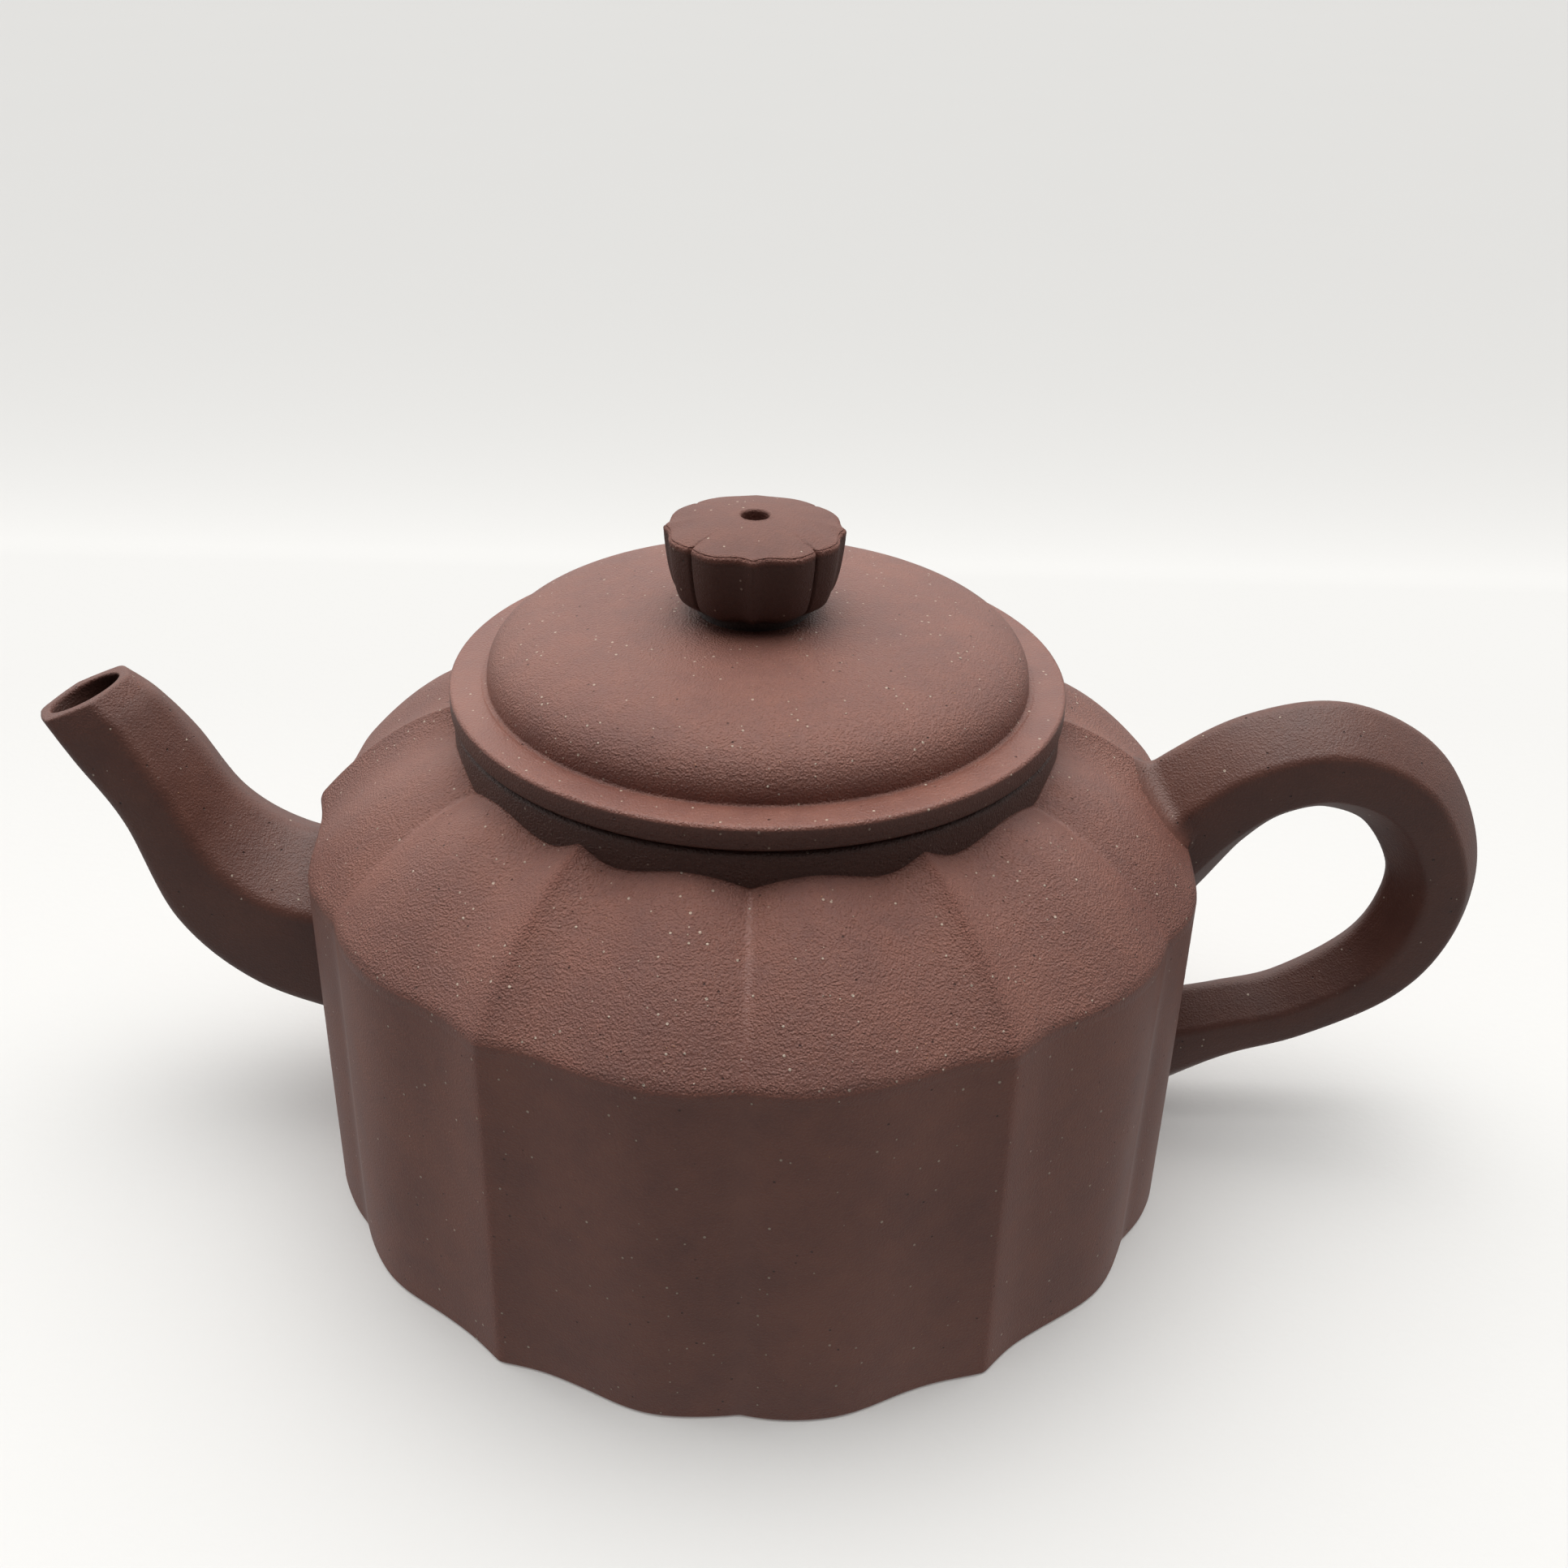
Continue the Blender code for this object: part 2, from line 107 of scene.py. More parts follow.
class Finish:
    def __init__(self, name, owner=None):
        self.owner = owner or bpy.data.materials.new(name)
        self.owner.use_nodes = True
        self.tree = self.owner.node_tree

    def put(self, socket, value):
        if isinstance(value, Wire):
            self.tree.links.new(value.socket, socket)
        else:
            socket.default_value = value

    def add(self, kind, settings=None, values=None, out=0):
        node = self.tree.nodes.new(kind)
        for key, value in (settings or {}).items():
            setattr(node, key, value)
        for key, value in (values or {}).items():
            self.put(node.inputs[key], value)
        return Wire(self, node.outputs[out])

    def mixed(self, low, high, share):
        blend = {"data_type": 'RGBA', "clamp_factor": True}
        return self.add("ShaderNodeMix", blend, {0: share, 6: low, 7: high}, out=2)

    def noise(self, place, size, detail=2.0, rough=0.5):
        values = {"Vector": place, "Scale": 1 / size, "Detail": detail, "Roughness": rough}
        return self.add("ShaderNodeTexNoise", {}, values)

    def cells(self, place, size, out):
        return self.add("ShaderNodeTexVoronoi", {}, {"Vector": place, "Scale": 1 / size}, out=out)

    def chances(self, place, size):
        # two random shares for each cell
        seeds = self.add("ShaderNodeSeparateColor", {}, {0: self.cells(place, size, "Color")})
        return seeds, Wire(self, seeds.socket.node.outputs[1])

    def vector(self, operation, *values, out=0):
        return self.add("ShaderNodeVectorMath", {"operation": operation}, dict(enumerate(values)), out)

    def scaled(self, colour, share):
        values = {0: colour, "Scale": share}
        return self.add("ShaderNodeVectorMath", {"operation": 'SCALE'}, values)

    def spots(self, place, cell, size, sharpness):
        # round spots of a size given as a share of their cells
        return ((size - self.cells(place, cell, "Distance")) * sharpness).held()

    def mark(self, name):
        return self.add("ShaderNodeAttribute", {"attribute_name": name}, {}, out=2)

    def shade(self, **values):
        shader = self.tree.nodes["Principled BSDF"]
        for key, value in values.items():
            self.put(shader.inputs[key.replace("_", " ")], value)


def rgb(red, green, blue):
    return (red, green, blue, 1.0)


clayLook = {
    "body": (0.272, 0.112, 0.080),       # fired clay
    "deep": (0.192, 0.078, 0.060),       # where it is darker and cooler
    "worn": (0.275, 0.103, 0.073),       # redder where an edge is rough
    "pale": (0.62, 0.50, 0.40),          # grog that shows as light specks
    "amber": (0.52, 0.25, 0.12),         # and as orange ones
    "pit": (0.050, 0.020, 0.015),
    "shadeAndDust": (0.060, 0.026, 0.019),      # painted shade on sheltered clay; also the colour of the dark dust specks
    "cloud": 0.017,                      # size of the soft changes of tone
    "mottle": 0.0032,
    "grain": 0.00024,
    "grit": 0.00024,                     # sand grains that stand proud
    "fold": 0.0009,                      # length of the fine wrinkles
    "speckCell": 0.00080,
    "speckSize": 0.162,                  # radius as a share of the cell
    "speckEdge": 22.0,                   # how sharply specks and pits end
    "orange": 0.40,                      # share of the specks that are orange
    "dustCell": 0.00034,
    "dustSize": 0.20,
    "dustEdge": 12.0,
    "dustShare": 0.45,                   # share of the cells that hold dust
    "pitCell": 0.0016,
    "pitSize": 0.085,
    "pitShare": 0.55,
    "relief": 0.00016,                   # height of the grain
}


def clayFinish(name, shade, roughness, grain, wrinkle, specks):
    look = clayLook
    made = Finish(name)
    place = made.add("ShaderNodeTexCoord", {}, {}, out="Object")
    edge = made.mark("edge")          # 1 on a worn edge or ridge
    rubbed = made.mark("rubbed")      # 1 where the clay was pressed smooth with a tool
    paintedShade = made.mark("paintedShade")      # 1 where shade is painted on sheltered clay

    cloud = made.noise(place, look["cloud"], 3.0, 0.55)
    mottle = made.noise(place, look["mottle"], 4.0, 0.62)
    fine = made.noise(place, look["grain"], 3.0, 0.65)
    grit = (0.62 - made.cells(place, look["grit"], "Distance")).held() * (mottle + 0.25)
    # wrinkles run around the pot, so they change quickly upwards and outwards from the axis
    squashed = made.vector("MULTIPLY", place, (1.0, 1.0, 1.8))
    outward = made.vector("LENGTH", made.vector("MULTIPLY", place, (1.5, 1.5, 0.0)), out=1)
    foldValues = {"Vector": squashed, "W": outward, "Scale": 1 / look["fold"]}
    foldValues.update({"Detail": 2.0, "Roughness": 0.55})
    folds = made.add("ShaderNodeTexNoise", {"noise_dimensions": '4D'}, foldValues)

    # grog: sparse pale and orange specks, with finer dust between them
    chance, kind = made.chances(place, look["speckCell"])
    size = look["speckSize"] * (0.35 + 0.85 * kind)
    speck = made.spots(place, look["speckCell"], size, look["speckEdge"]) * (chance > 1.0 - specks)
    chance, dustKind = made.chances(place, look["dustCell"])
    dust = made.spots(place, look["dustCell"], look["dustSize"], look["dustEdge"])
    dust = dust * (chance > 1.0 - look["dustShare"])
    chance = made.chances(place, look["pitCell"])[0]
    pit = made.spots(place, look["pitCell"], look["pitSize"], look["speckEdge"])
    pit = pit * (chance > 1.0 - look["pitShare"])

    tone = (0.42 + 1.8 * (cloud - 0.5) + 1.4 * (mottle - 0.5) + 0.9 * (fine - 0.5) + 0.35 * grit).held()

    def shaded(key):
        return rgb(*[c * shade for c in look[key]])

    colour = made.mixed(shaded("deep"), shaded("body"), tone)
    colour = made.mixed(colour, shaded("worn"), (edge * (0.05 + 0.7 * mottle)).held())
    colour = made.mixed(colour, shaded("amber"), dust * 0.10 * (dustKind > 0.5))
    colour = made.mixed(colour, shaded("shadeAndDust"), dust * 0.16 * (dustKind < 0.5))
    # painted shade: sheltered places are painted dark
    colour = made.mixed(colour, shaded("shadeAndDust"), paintedShade.held())
    colour = made.mixed(colour, shaded("pit"), pit * 0.75)
    hue = made.mixed(rgb(*look["amber"]), rgb(*look["pale"]), kind > look["orange"])
    # the specks fade under the painted shade
    colour = made.mixed(colour, hue, speck * (0.85 - 0.6 * paintedShade))

    coarse = grain * (1.0 + 0.9 * edge) * (1.0 - 0.75 * rubbed)
    height = coarse * (fine - 0.5 + 0.9 * grit) + wrinkle * (1.0 - rubbed) * (folds - 0.5)
    height = height + 0.35 * speck - 0.9 * pit
    bump = {"Strength": 1.0, "Distance": look["relief"], "Height": height}
    normal = made.add("ShaderNodeBump", {}, bump)
    rough = roughness + 0.12 * (mottle - 0.5) + 0.06 * edge - 0.12 * rubbed
    made.shade(Base_Color=colour, Roughness=rough.held(), Normal=normal)
    made.shade(Metallic=0.0, IOR=1.5, Specular_IOR_Level=0.5)
    return made.owner


grained = clayFinish("grainedClay", shade=1.0, roughness=0.45, grain=1.2, wrinkle=0.6, specks=0.50)
burnished = clayFinish("burnishedClay", shade=1.0, roughness=0.47, grain=0.45, wrinkle=0.25, specks=0.20)
# the spout and handle take the burnished clay painted darker: partly a darker tone of their own, partly
# painted shade
limbClay = clayFinish("limbClay", shade=0.60, roughness=0.45, grain=0.40, wrinkle=0.25, specks=0.14)
knobClay = clayFinish("knobClay", shade=0.78, roughness=0.60, grain=0.6, wrinkle=0.3, specks=0.24)
lidClay = clayFinish("lidClay", shade=1.0, roughness=0.44, grain=1.0, wrinkle=0.6, specks=0.50)
innerClay = clayFinish("innerClay", shade=0.9, roughness=0.62, grain=0.7, wrinkle=0.5, specks=0.22)
print("clay finishes made")


creaseAngle = math.radians(38)  # sharper creases than this are not smoothed over


def claySkin(name, rows, joined=False, marks=None):
    # a closed piece through rings of equally many points; joined ones run back to their first ring
    rows = np.asarray(rows, float)
    rings, points = rows.shape[:2]
    corner = np.arange(rings * points).reshape(rings, points)
    following = np.roll(corner, -1, axis=1)
    upper = np.roll(corner, -1, axis=0)
    upperFollowing = np.roll(following, -1, axis=0)
    last = rings if joined else rings - 1
    quads = np.stack([corner, following, upperFollowing, upper], axis=-1)[:last].reshape(-1, 4).tolist()
    if not joined:
        quads += [corner[0].tolist(), corner[-1].tolist()]
    mesh = bpy.data.meshes.new(name)
    mesh.from_pydata(rows.reshape(-1, 3).tolist(), [], quads)
    for key, values in (marks or {}).items():
        layer = mesh.attributes.new(key, 'FLOAT', 'POINT')
        layer.data.foreach_set("value", np.broadcast_to(values, (rings, points)).astype(np.float32).ravel())
    facing = bmesh.new()
    facing.from_mesh(mesh)
    bmesh.ops.recalc_face_normals(facing, faces=facing.faces)
    facing.to_mesh(mesh)
    facing.free()
    mesh.shade_smooth()
    mesh.set_sharp_from_angle(angle=creaseAngle)
    piece = bpy.data.objects.new(name, mesh)
    bpy.context.collection.objects.link(piece)
    return piece


def settle(piece, body, slot, finish, *nodes):
    piece.data.materials.append(finish)
    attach(piece, body)
    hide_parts(*nodes)


def polar(radius, turn, height):
    # points at a share of a full turn, counted from the front towards +X
    angle = np.asarray(turn) * 2 * math.pi
    radius, angle, height = np.broadcast_arrays(radius, angle, height)
    return np.stack([radius * np.sin(angle), -radius * np.cos(angle), height], axis=-1)


def arc(centre, reach, start, end, steps):
    # (radius, height) points on a round corner, angles in degrees from outwards towards up
    angles = np.radians(np.linspace(start, end, steps + 1))
    return [(centre[0] + reach * math.cos(a), centre[1] + reach * math.sin(a)) for a in angles]


def stretch(start, end, steps):
    # points between two others, leaving both out
    shares = np.linspace(0, 1, steps + 2)[1:-1]
    return [tuple(np.asarray(start) * (1 - s) + np.asarray(end) * s) for s in shares]


def bend(start, corner, end, steps):
    # a soft turn from start to end, both left in, along straight runs that would meet at corner
    shares = np.linspace(0, 1, steps + 1)
    return [start * (1 - s) ** 2 + 2 * s * (1 - s) * corner + end * s ** 2 for s in shares]


def smoothThrough(points, steps):
    points = np.asarray(points, float)
    ends = np.concatenate([[2 * points[0] - points[1]], points, [2 * points[-1] - points[-2]]])
    curve = []
    for a, b, c, d in zip(ends, ends[1:], ends[2:], ends[3:]):
        for t in np.arange(steps) / steps:
            curve.append(0.5 * (2 * b + (c - a) * t + (2 * a - 5 * b + 4 * c - d) * t ** 2
                                + (3 * b - a - 3 * c + d) * t ** 3))
    return np.array(curve + [points[-1]])


def lobed(turn, count, turns, soft):
    # height, 0 to 1, of an outline of bracket-shaped lobes; soft rounds the ridges and grooves
    along = np.mod(np.asarray(turn) * count, 1.0)
    share = np.minimum(along, 1.0 - along) * 2.0
    share = np.sqrt(share ** 2 + soft ** 2)
    share = 1.0 - np.sqrt((1.0 - np.minimum(share, 1.0)) ** 2 + soft ** 2)
    share = np.clip(share, 0.0, 1.0)
    height = np.zeros_like(share)
    for (start, low), (end, high) in zip(turns, turns[1:]):
        step = (share - start) / (end - start)
        if start == 0.0:
            eased = np.sin(step * math.pi / 2)
        elif end == 1.0:
            eased = 1.0 - np.cos(step * math.pi / 2)
        else:
            eased = (1.0 - np.cos(step * math.pi)) / 2
        height = np.where((share >= start) & (share <= end), low + (high - low) * eased, height)
    return height


def lobeTurns(count, perHalf, crowding):
    # turns of a circle for one ring, closer together at the grooves and the ridges
    even = np.arange(perHalf) / perHalf
    crowded = (1.0 - np.cos(even * math.pi)) / 2
    half = even * (1.0 - crowding) + crowded * crowding
    return np.concatenate([(half + i) / (2 * count) for i in range(2 * count)])


body = {
    "petals": 6,
    "turns": ((0.0, 0.22), (0.31, 1.0), (0.76, 0.0), (1.0, 1.0)),  # share from groove to ridge, height
    "dips": ((0.0, 0.0), (0.38, 0.62), (0.76, 0.32), (1.0, 1.0)),   # the same for the way it meets the neck
    "neckDip": 0.0013,     # how much lower than a ridge the grooves meet the neck
    "soft": 0.012,         # rounding of ridges and grooves, as a share of half a petal
    "edgeLobe": 0.00115,   # depth of the lobes at the shoulder edge
    "neckLobe": 0.0018,    # and where they meet the neck
    "lip": 0.0012,         # upright outer edge of the shoulder slab
    "swell": 0.0018,       # bulge of the shoulder above a straight cone
    "wall": 0.0028,
    "roof": 0.0032,
    "edgeRound": 0.00034,
    "footRound": 0.00045,
    "cove": 0.00025,       # fillet where the shoulder runs up to the neck
    "neckWall": 0.0033,
    "handWave": 0.00005,   # how far the hand left the wall from true
    "handInset": 0.00016,  # and how far inwards, so that no wave stands proud of the true shape
    "rubbedWidth": 0.00045,
    "wornWidth": 0.0006,
}
edgeHeight = shoulderLow.z + body["lip"]
flare = (wallHigh.x - shoulderHigh.x) / (1 - body["lip"] / edgeHeight)
bodyRadius = wallHigh.x - flare
neckRadius = neckHigh.x
riseHeight = shoulderHigh.z - edgeHeight
petalTurns = lobeTurns(body["petals"], 40, 0.65)


def handWave(turn, height):
    # slow waves left by beating and scraping the wall
    angle = np.asarray(turn) * 2 * math.pi
    up = np.asarray(height) / wallHigh.z
    waves = np.sin(17 * angle + 1.3 * up) + 0.8 * np.sin(29 * angle - 2.1 * up + 1.0)
    waves += 0.9 * np.sin(5 * angle + 3.0 * up)
    return body["handWave"] * waves - body["handInset"]


def wallRadius(turn, height):
    lobe = lobed(turn, body["petals"], body["turns"], body["soft"])
    trueRadius = bodyRadius + flare * (1 - height / edgeHeight) - body["edgeLobe"] * (1 - lobe)
    return trueRadius + handWave(turn, height)


def roofHeight(radius, turn):
    share = (bodyRadius - radius) / (bodyRadius - neckRadius)
    depth = body["edgeLobe"] + (body["neckLobe"] - body["edgeLobe"]) * share
    smooth = radius + depth * (1 - lobed(turn, body["petals"], body["turns"], body["soft"]))
    climb = (bodyRadius - smooth) / (bodyRadius - neckRadius)
    dip = body["neckDip"] * share ** 1.5 * (1 - lobed(turn, body["petals"], body["dips"], body["soft"]))
    return edgeHeight + riseHeight * climb + 4 * body["swell"] * climb * (1 - climb) - dip


def nearRidge(turn, reach, shift=0.0):
    # 1 on a petal's ridge, fading over a distance along the wall
    along = np.mod(np.asarray(turn) * body["petals"] + shift, 1.0)
    away = np.abs(along - 0.5) / body["petals"] * 2 * math.pi * bodyRadius
    return np.exp(-(away / reach) ** 2)


def nearGroove(turn, reach):
    return nearRidge(turn, reach, 0.5)


def roofRow(share, inset=0.0, drop=0.0):
    edge = wallRadius(petalTurns, edgeHeight) - inset
    radius = edge + (neckRadius - edge) * share
    return polar(radius, petalTurns, roofHeight(radius, petalTurns) - drop)


def wallRow(height, inset=0.0):
    return polar(wallRadius(petalTurns, height) - inset, petalTurns, height)


def makeWall():
    foot = body["footRound"]
    top = shoulderLow.z - tuck / 2
    rows = [wallRow(z, inset) for inset, z in arc((foot, foot), foot, 270, 180, 5)]
    rows += [wallRow(z) for z in np.linspace(foot, top, 26)[1:]]
    rows += [wallRow(z, body["wall"]) for z in np.linspace(top, foot, 14)]
    rows.append(wallRow(0.0, body["wall"] + foot))
    height = np.array([row[0][2] for row in rows])[:, None]
    marks = {"edge": 0.8 * nearRidge(petalTurns, 0.0007)[None, :] * np.ones_like(height)
             + np.exp(-(height / 0.0008) ** 2),
             "rubbed": 0.9 * nearGroove(petalTurns, 0.0009)[None, :] * np.ones_like(height)}
    wall = claySkin("bodyWall", rows, joined=True, marks=marks)
    # round seat for the strainer, cut through behind the spout
    seat = (strainerLow.x, 0.0, (strainerLow.z + strainerHigh.z) / 2)
    bpy.ops.mesh.primitive_cylinder_add(vertices=96, radius=strainerHigh.y, depth=0.02, location=seat,
                                        rotation=(0.0, math.pi / 2, 0.0))
    drill = bpy.context.object
    cut = wall.modifiers.new("strainerSeat", 'BOOLEAN')
    cut.object = drill
    cut.solver = 'EXACT'
    bpy.context.view_layer.update()
    pierced = wall.evaluated_get(bpy.context.evaluated_depsgraph_get())
    shaped = bpy.data.meshes.new_from_object(pierced)
    wall.modifiers.clear()
    wall.data = shaped
    bpy.data.objects.remove(drill)
    settle(wall, "pot", "clay_burnished", burnished, "body_wall")


def makeShoulder():
    turning = body["edgeRound"]
    seam = shoulderLow.z - tuck / 2
    rows = [wallRow(z) for z in np.linspace(seam, edgeHeight - turning * 1.4, 4)]
    below = wallRow(edgeHeight - turning)
    corner = wallRow(edgeHeight)
    beyond = roofRow(turning / (bodyRadius - neckRadius))
    rows += bend(below, corner, beyond, 8)
    edgeRows = len(rows)
    span = bodyRadius - neckRadius
    shares = list(np.linspace(turning / span, 1 - body["cove"] / span, 34)[1:])
    rows += [roofRow(s) for s in shares]
    # the fillet climbs the neck
    for step in np.linspace(0, math.pi / 2, 7)[1:]:
        row = roofRow(1 - body["cove"] / span * (1 - math.sin(step)))
        row[:, 2] += body["cove"] * (1 - math.cos(step))
        rows.append(row)
    outer = len(rows)
    inward = np.linspace(1.0, 0.0, 14)
    rows += [roofRow(s, body["wall"], body["roof"]) for s in inward[:-1]]
    rows.append(wallRow(seam, body["wall"]))
    edge = np.zeros((len(rows), len(petalTurns)))
    for i in range(outer):
        away = np.linalg.norm(rows[i] - corner, axis=1)
        edge[i] = 1.1 * np.exp(-(away / body["wornWidth"]) ** 2)
    order = np.arange(len(rows))[:, None]
    onRoof = (order >= edgeRows - 4) & (order < outer)
    edge += onRoof * nearRidge(petalTurns, 0.0010)[None, :] * 0.8
    rubbed = np.where(onRoof, 0.7 * nearGroove(petalTurns, body["rubbedWidth"])[None, :], 0.7)
    marks = {"edge": np.minimum(edge, 1.2), "rubbed": rubbed}
    shoulder = claySkin("shoulder", rows, joined=True, marks=marks)
    settle(shoulder, "pot", "clay_grained", grained, "shoulder")


def turned(profile, sides=320):
    turns = np.arange(sides) / sides
    return [polar(radius, turns, height) for radius, height in profile]


neck = {
    "round": 0.00055,
    "shadeAndDust": 0.85,         # how dark the painted shade on the sheltered band is
}


def makeNeck():
    ease = neck["round"]
    inner = neckRadius - body["neckWall"]
    low = neckLow.z
    top = neckHigh.z
    profile = [(neckRadius, low)] + stretch((neckRadius, low), (neckRadius, top - ease), 10)
    profile += arc((neckRadius - ease, top - ease), ease, 0, 90, 6)
    profile += stretch((neckRadius - ease, top), (inner + ease, top), 3)
    profile += arc((inner + ease, top - ease), ease, 90, 180, 6)
    profile += stretch((inner, top - ease), (inner, low + ease), 8)
    profile += arc((inner + ease, low + ease), ease, 180, 270, 5)
    # painted shade on the neck's outer face, under the lid's overhang
    paintedShade = np.array([neck["shadeAndDust"] * (radius > neckRadius - ease) for radius, _ in profile])[:, None]
    piece = claySkin("neckRing", turned(profile), joined=True, marks={"paintedShade": paintedShade})
    settle(piece, "pot", "clay_grained", grained, "neck_ring")


base = {
    "hollow": 0.00025,     # the underside is scraped a little hollow
    "rim": 0.12,           # share of the radius over which it gets there
    "cove": 0.0011,        # fillet inside, where the floor meets the wall
}


def makeBase():
    cove = base["cove"]
    reach = body["wall"] - tuck
    thick = baseHigh.z
    inset = [(reach, 0.0006), (reach + 0.0002, 0.00012), (reach + 0.0006, 0.00005)]
    under = [wallRow(z, i) for i, z in inset]
    for share in (0.97, 0.93, 0.88, 0.75, 0.5, 0.25, 0.06):
        row = wallRow(0.0, reach) * share
        row[:, 2] = base["hollow"] * min(1.0, (1 - share) / base["rim"])
        under.append(row)
    inside = []
    for share in (0.06, 0.25, 0.5, 0.75, 0.9):
        row = wallRow(thick, reach) * share
        row[:, 2] = thick
        inside.append(row)
    inside += [wallRow(z, i + body["wall"]) for i, z in arc((cove, thick + cove), cove, 270, 180, 8)]
    inside.append(wallRow(thick + cove, reach))
    piece = claySkin("basePlate", under[::-1] + inside[::-1])
    settle(piece, "pot", "clay_hidden", innerClay, "base_plate")


def bodyGap(points):
    # rough distance of points from the body's outer face, less than 0 inside it; the luted pieces
    # are landed on the body with it
    turn = np.arctan2(points[..., 0], -points[..., 1]) / (2 * math.pi)
    radius = np.hypot(points[..., 0], points[..., 1])
    fromWall = radius - wallRadius(turn, np.minimum(points[..., 2], edgeHeight))
    lean = 0.74            # cosine of the shoulder's slope
    blend = 0.0002         # rounding between wall and shoulder
    above = points[..., 2] - roofHeight(np.clip(radius, neckRadius, bodyRadius), turn)
    fromRoof = above * lean
    return (fromWall + fromRoof + np.sqrt((fromWall - fromRoof) ** 2 + blend ** 2)) / 2


def bodyNormal(points):
    small = 0.00005
    slopes = [bodyGap(points + small * axis) - bodyGap(points - small * axis) for axis in np.eye(3)]
    normal = np.stack(slopes, axis=-1)
    return normal / np.linalg.norm(normal, axis=-1, keepdims=True)


def lengthsOf(lines):
    steps = np.linalg.norm(np.diff(lines, axis=0), axis=-1)
    return np.concatenate([np.zeros((1, lines.shape[1])), np.cumsum(steps, axis=0)])


def placesAt(lines, lengths, wanted):
    # the point of each line at its own distance along it
    found = np.zeros((lines.shape[1], 3))
    for i in range(lines.shape[1]):
        for axis in range(3):
            found[i, axis] = np.interp(wanted[i], lengths[:, i], lines[:, i, axis])
    return found


def rootLengths(lines, lengths):
    # how far along each line, counted from its free end, it goes into the body
    gaps = bodyGap(lines)
    first = (gaps < 0).argmax(axis=0)
    column = np.arange(lines.shape[1])
    before = gaps[first - 1, column]
    share = before / (before - gaps[first, column])
    return lengths[first - 1, column] * (1 - share) + lengths[first, column] * share


def rootFillet(lines, lengths, root, fillet, spread, steps=10):
    # rows that sweep from the piece's own skin out onto the body's, and then just under it
    start = placesAt(lines, lengths, root - fillet)
    corner = placesAt(lines, lengths, root)
    normal = bodyNormal(corner)
    outward = corner - corner.mean(axis=0)
    outward -= normal * (outward * normal).sum(axis=-1, keepdims=True)
    outward /= np.linalg.norm(outward, axis=-1, keepdims=True)
    end = corner + outward * (fillet * spread)[:, None]
    for _ in range(4):
        end = end - bodyNormal(end) * bodyGap(end)[:, None]
    end = end - bodyNormal(end) * 0.00001
    rows = bend(start, corner, end, steps)
    rows.append(end - bodyNormal(end) * tuck)
    return rows


def softHexagon(centre, up, halfWidth, flat, soft, puff):
    # corners at both ends of up and beside it, the side ones rounded over soft[0] and the end ones over
    # soft[1]; the faces between them are puffed out a little
    side = np.array((0.0, halfWidth, 0.0))
    corners = [centre + up, centre + up * flat + side, centre - up * flat + side,
               centre - up, centre - up * flat - side, centre + up * flat - side]
    ring = []
    for i, corner in enumerate(corners):
        ahead = corners[(i + 1) % 6]
        before = corners[i - 1] - corner
        after = ahead - corner
        reach = min(soft[int(i % 3 == 0)], 0.46 * np.linalg.norm(before), 0.46 * np.linalg.norm(after))
        nextReach = min(soft[int((i + 1) % 3 == 0)], 0.46 * np.linalg.norm(after))
        start = corner + before / np.linalg.norm(before) * reach
        end = corner + after / np.linalg.norm(after) * reach
        arrive = ahead - after / np.linalg.norm(after) * nextReach
        ring += bend(start, corner, end, 8)
        outward = (corner + ahead) / 2 - centre
        outward /= np.linalg.norm(outward)
        for share in (0.2, 0.4, 0.6, 0.8):
            ring.append(end * (1 - share) + arrive * share + outward * puff * 4 * share * (1 - share))
    return np.array(ring)


spout = {
    # top edge and low edge as (out, up) shares of the reach and of the tip's height, how much of the
    # spare width is left, and the rounding of the side corners and of the top and bottom ones
    "stations": ((-0.15, 0.658, -0.15, 0.194, 1.00, 0.0012, 0.0016),
                 (0.106, 0.675, 0.287, 0.298, 0.94, 0.0012, 0.0016),
                 (0.293, 0.748, 0.591, 0.453, 0.72, 0.0016, 0.0018),
                 (0.437, 0.872, 0.738, 0.694, 0.50, 0.0015, 0.0018),
                 (0.534, 0.957, 0.908, 0.828, 0.20, 0.0010, 0.0014),
                 (0.635, 1.0, 1.0, 0.918, 0.0, 0.0007, 0.0012)),
    "width": 0.0176,
    "lipWidth": 0.0090,
    "flat": 0.5,
    "wall": (0.0012, 0.0025),     # clay beside the bore, at the lip and at the root
    "endWall": (0.0016, 0.0031),  # and above and below it
    "puff": 0.00012,
    "lipRound": 0.00035,
    "fillet": 0.00045,
    "shadeAndDust": 0.6,                 # how dark the painted shade inside the bore is
}


def spoutSections(steps):
    reach = -spoutLow.x - bodyRadius
    spare = spout["width"] - spout["lipWidth"]
    tops = [(-bodyRadius - reach * s[0], 0.0, spoutHigh.z * s[1]) for s in spout["stations"]]
    lows = [(-bodyRadius - reach * s[2], 0.0, spoutHigh.z * s[3]) for s in spout["stations"]]
    others = [(spout["lipWidth"] + spare * s[4], s[5], s[6]) for s in spout["stations"]]
    others = smoothThrough(others, steps)
    tops = smoothThrough(tops, steps)
    lows = smoothThrough(lows, steps)
    return list(zip((tops + lows) / 2, (tops - lows) / 2, others[:, 0] / 2, others[:, 1:]))


